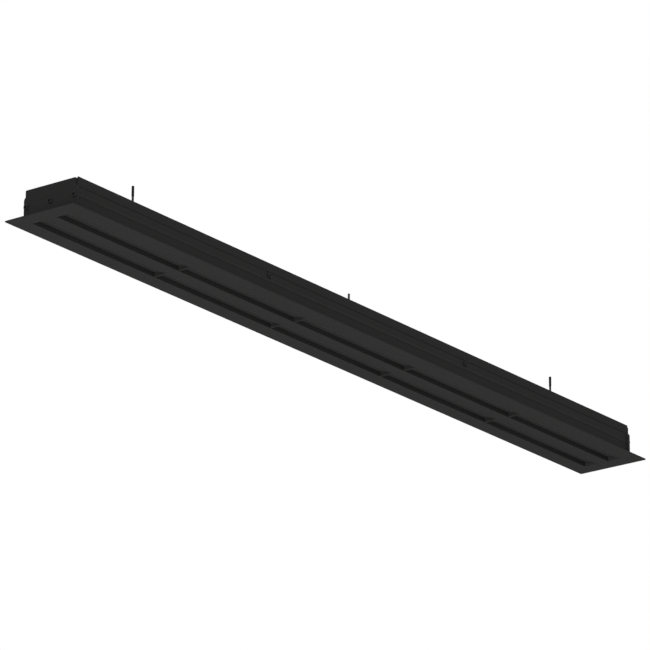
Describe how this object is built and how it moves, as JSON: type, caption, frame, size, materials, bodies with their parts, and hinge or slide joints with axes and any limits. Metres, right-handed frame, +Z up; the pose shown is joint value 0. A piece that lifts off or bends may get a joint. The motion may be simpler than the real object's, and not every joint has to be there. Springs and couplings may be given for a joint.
{
  "type": "linear ventilation grille",
  "caption": "Long black linear ceiling air grille with parallel slots, hinged deflector blades, a face flange, screwed end caps and short suspension rods.",
  "frame": {"origin": "middle of the visible face, on the underside of the centre bar", "axes": "+X along the slots, +Y across them, +Z up into the ceiling, away from the visible face"},
  "size_m": [1.0418, 0.0914, 0.0758],
  "materials": {
    "rails": "matte",
    "end_caps": "matte",
    "spacers": "matte",
    "blades": "matte",
    "hinge_rods": "satin",
    "tie_bars": "satin",
    "screws": "satin",
    "channel_nuts": "satin",
    "lock_nuts": "satin",
    "hanger_rods": "satin",
    "rod_sleeves": "matte"
  },
  "bodies": {
    "grille_frame": {"front_rail": "rails", "centre_rail": "rails", "rear_rail": "rails", "left_end_cap": "end_caps", "right_end_cap": "end_caps", "front_spacer_1": "spacers", "front_spacer_2": "spacers", "front_spacer_3": "spacers", "front_spacer_4": "spacers", "rear_spacer_1": "spacers", "rear_spacer_2": "spacers", "rear_spacer_3": "spacers", "rear_spacer_4": "spacers", "front_hinge_rod": "hinge_rods", "rear_hinge_rod": "hinge_rods", "left_tie_bar": "tie_bars", "right_tie_bar": "tie_bars", "left_end_screw_1": "screws", "left_end_screw_2": "screws", "left_end_screw_3": "screws", "right_end_screw_1": "screws", "right_end_screw_2": "screws", "right_end_screw_3": "screws", "front_side_screw_left": "screws", "front_side_screw_right": "screws", "rear_side_screw_left": "screws", "rear_side_screw_right": "screws", "channel_nut_1": "channel_nuts", "channel_nut_2": "channel_nuts", "channel_nut_3": "channel_nuts", "lock_nut_1": "lock_nuts", "lock_nut_2": "lock_nuts", "lock_nut_3": "lock_nuts", "hanger_rod_1": "hanger_rods", "hanger_rod_2": "hanger_rods", "hanger_rod_3": "hanger_rods", "rod_sleeve_1": "rod_sleeves", "rod_sleeve_3": "rod_sleeves"},
    "front_blade_1": {"front_blade_1": "blades"},
    "front_blade_2": {"front_blade_2": "blades"},
    "front_blade_3": {"front_blade_3": "blades"},
    "front_blade_4": {"front_blade_4": "blades"},
    "front_blade_5": {"front_blade_5": "blades"},
    "rear_blade_1": {"rear_blade_1": "blades"},
    "rear_blade_2": {"rear_blade_2": "blades"},
    "rear_blade_3": {"rear_blade_3": "blades"},
    "rear_blade_4": {"rear_blade_4": "blades"},
    "rear_blade_5": {"rear_blade_5": "blades"}
  },
  "joints": [
    {"name": "front_blade_1_hinge", "type": "hinge", "parent": "grille_frame", "child": "front_blade_1", "pos_m": [-0.4003, -0.02365, 0.0018], "axis": [1, 0, 0], "range_deg": [0, 70]},
    {"name": "front_blade_2_hinge", "type": "hinge", "parent": "grille_frame", "child": "front_blade_2", "pos_m": [-0.2, -0.02365, 0.0018], "axis": [1, 0, 0], "range_deg": [0, 70]},
    {"name": "front_blade_3_hinge", "type": "hinge", "parent": "grille_frame", "child": "front_blade_3", "pos_m": [0, -0.02365, 0.0018], "axis": [1, 0, 0], "range_deg": [0, 70]},
    {"name": "front_blade_4_hinge", "type": "hinge", "parent": "grille_frame", "child": "front_blade_4", "pos_m": [0.2, -0.02365, 0.0018], "axis": [1, 0, 0], "range_deg": [0, 70]},
    {"name": "front_blade_5_hinge", "type": "hinge", "parent": "grille_frame", "child": "front_blade_5", "pos_m": [0.4003, -0.02365, 0.0018], "axis": [1, 0, 0], "range_deg": [0, 70]},
    {"name": "rear_blade_1_hinge", "type": "hinge", "parent": "grille_frame", "child": "rear_blade_1", "pos_m": [-0.4003, 0.00875, 0.0018], "axis": [1, 0, 0], "range_deg": [0, 70]},
    {"name": "rear_blade_2_hinge", "type": "hinge", "parent": "grille_frame", "child": "rear_blade_2", "pos_m": [-0.2, 0.00875, 0.0018], "axis": [1, 0, 0], "range_deg": [0, 70]},
    {"name": "rear_blade_3_hinge", "type": "hinge", "parent": "grille_frame", "child": "rear_blade_3", "pos_m": [0, 0.00875, 0.0018], "axis": [1, 0, 0], "range_deg": [0, 70]},
    {"name": "rear_blade_4_hinge", "type": "hinge", "parent": "grille_frame", "child": "rear_blade_4", "pos_m": [0.2, 0.00875, 0.0018], "axis": [1, 0, 0], "range_deg": [0, 70]},
    {"name": "rear_blade_5_hinge", "type": "hinge", "parent": "grille_frame", "child": "rear_blade_5", "pos_m": [0.4003, 0.00875, 0.0018], "axis": [1, 0, 0], "range_deg": [0, 70]}
  ]
}
